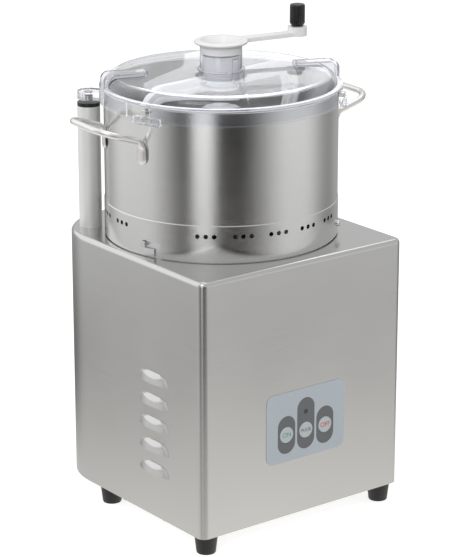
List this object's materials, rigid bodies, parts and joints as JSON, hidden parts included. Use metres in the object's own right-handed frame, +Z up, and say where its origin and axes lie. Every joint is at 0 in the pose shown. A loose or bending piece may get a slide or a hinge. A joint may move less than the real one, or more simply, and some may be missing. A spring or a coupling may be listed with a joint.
{
  "type": "food cutter",
  "caption": "Bench-top bowl cutter: steel motor base with push buttons, handled steel bowl, sickle knives, clear lid with a cranked scraper and funnel.",
  "frame": {"origin": "on the bench plane under the feet, on the axis of the bowl", "axes": "+Z up along the bowl axis; the control panel faces -Y and the louvres face -X"},
  "size_m": [0.3884, 0.3308, 0.6147],
  "materials": {
    "casing_steel": "satin brushed stainless sheet",
    "bowl_steel": "satin stainless, fine vertical sheen",
    "rod_steel": "polished stainless",
    "blade_steel": "ground stainless",
    "fastener_steel": "plated steel",
    "aluminium": "machined",
    "post_aluminium": "satin tube",
    "motor_iron": "painted iron",
    "cover_paint": "painted sheet",
    "rubber_black": "matt moulded rubber",
    "plastic_black": "moulded",
    "plastic_white": "smooth moulded",
    "scraper_plastic": "smooth moulded",
    "lid_plastic": "clear, moulded, faint lilac tint",
    "seal_plastic": "soft translucent ring",
    "panel_film": "satin film",
    "field_film": "dark grey film",
    "button_plastic": null,
    "lamp_plastic": "dark lens",
    "board": "circuit board",
    "capacitor_can": "drawn can",
    "electric_plastic": "moulded"
  },
  "bodies": {
    "base": {"base_casing": "casing_steel", "bottom_plate": "casing_steel", "rubber_feet": "rubber_black", "foot_screws": "fastener_steel", "foot_nuts": "fastener_steel", "plate_screws": "fastener_steel", "bowl_collar": "aluminium", "bayonet_pins": "fastener_steel", "collar_screws": "fastener_steel", "motor_flange": "aluminium", "motor_bolts": "fastener_steel", "motor_stator": "motor_iron", "motor_end_bell": "aluminium", "fan_cover": "cover_paint", "upper_bearing": "fastener_steel", "lower_bearing": "fastener_steel", "shaft_seal": "rubber_black", "run_capacitor": "capacitor_can", "capacitor_clip": "casing_steel", "control_board": "board", "board_standoffs": "fastener_steel", "switch_block": "electric_plastic", "terminal_block": "electric_plastic", "cable_gland": "plastic_black", "panel_sheet": "panel_film", "button_fields": "field_film", "status_lamp": "lamp_plastic", "interlock_post": "post_aluminium", "post_cap": "plastic_black", "post_nut": "fastener_steel", "reed_switch": "electric_plastic"},
    "rotor": {"drive_shaft": "blade_steel", "motor_rotor": "motor_iron", "cooling_fan": "plastic_black"},
    "bowl_seat": {"bowl_seat_ring": "rubber_black"},
    "bowl": {"bowl_wall": "bowl_steel", "bowl_floor": "bowl_steel", "left_handle": "rod_steel", "right_handle": "rod_steel", "lid_studs": "rod_steel"},
    "knife": {"knife_hub": "blade_steel", "lower_blade": "blade_steel", "blade_spacer": "blade_steel", "upper_blade": "blade_steel", "blade_nut": "blade_steel", "knife_cap": "plastic_white"},
    "seal_ring": {"lid_seal": "seal_plastic"},
    "lid_body": {"lid": "lid_plastic", "lid_magnet": "fastener_steel"},
    "crank": {"scraper": "scraper_plastic", "funnel_crank": "plastic_white", "knob_pin": "fastener_steel"},
    "knob": {"crank_knob": "plastic_black"},
    "start": {"start_button": "button_plastic"},
    "pulse": {"pulse_button": "button_plastic"},
    "stop": {"stop_button": "button_plastic"}
  },
  "joints": [
    {"name": "bowl_lift", "type": "slide", "parent": "base", "child": "bowl_seat", "axis": [0, 0, 1], "range_m": [0, 0.16]},
    {"name": "bowl_turn", "type": "hinge", "parent": "bowl_seat", "child": "bowl", "pos_m": [0, 0, 0.388], "axis": [0, 0, 1], "range_deg": [-7.6, 0]},
    {"name": "lid_lift", "type": "slide", "parent": "bowl", "child": "seal_ring", "axis": [0, 0, 1], "range_m": [0, 0.15]},
    {"name": "lid_turn", "type": "hinge", "parent": "seal_ring", "child": "lid_body", "pos_m": [0, 0, 0.527], "axis": [0, 0, 1], "range_deg": [0, 10]},
    {"name": "crank_turn", "type": "hinge", "parent": "lid_body", "child": "crank", "pos_m": [0, 0, 0.565], "axis": [0, 0, 1], "continuous": true},
    {"name": "knob_spin", "type": "hinge", "parent": "crank", "child": "knob", "pos_m": [0.10353, -0.01751, 0.59], "axis": [0, 0, 1], "continuous": true},
    {"name": "rotor_spin", "type": "hinge", "parent": "base", "child": "rotor", "pos_m": [0, 0, 0.3], "axis": [0, 0, 1], "continuous": true},
    {"name": "knife_spin", "type": "hinge", "parent": "bowl_seat", "child": "knife", "pos_m": [0, 0, 0.4], "axis": [0, 0, 1], "continuous": true},
    {"name": "start_press", "type": "slide", "parent": "base", "child": "start", "axis": [0, 1, 0], "range_m": [0, 0.0006], "stiffness_N_per_m": 600},
    {"name": "pulse_press", "type": "slide", "parent": "base", "child": "pulse", "axis": [0, 1, 0], "range_m": [0, 0.0006], "stiffness_N_per_m": 600},
    {"name": "stop_press", "type": "slide", "parent": "base", "child": "stop", "axis": [0, 1, 0], "range_m": [0, 0.0006], "stiffness_N_per_m": 600}
  ],
  "couplings": [
    {"joint": "knife_spin", "follows": "rotor_spin", "ratio": 1}
  ]
}
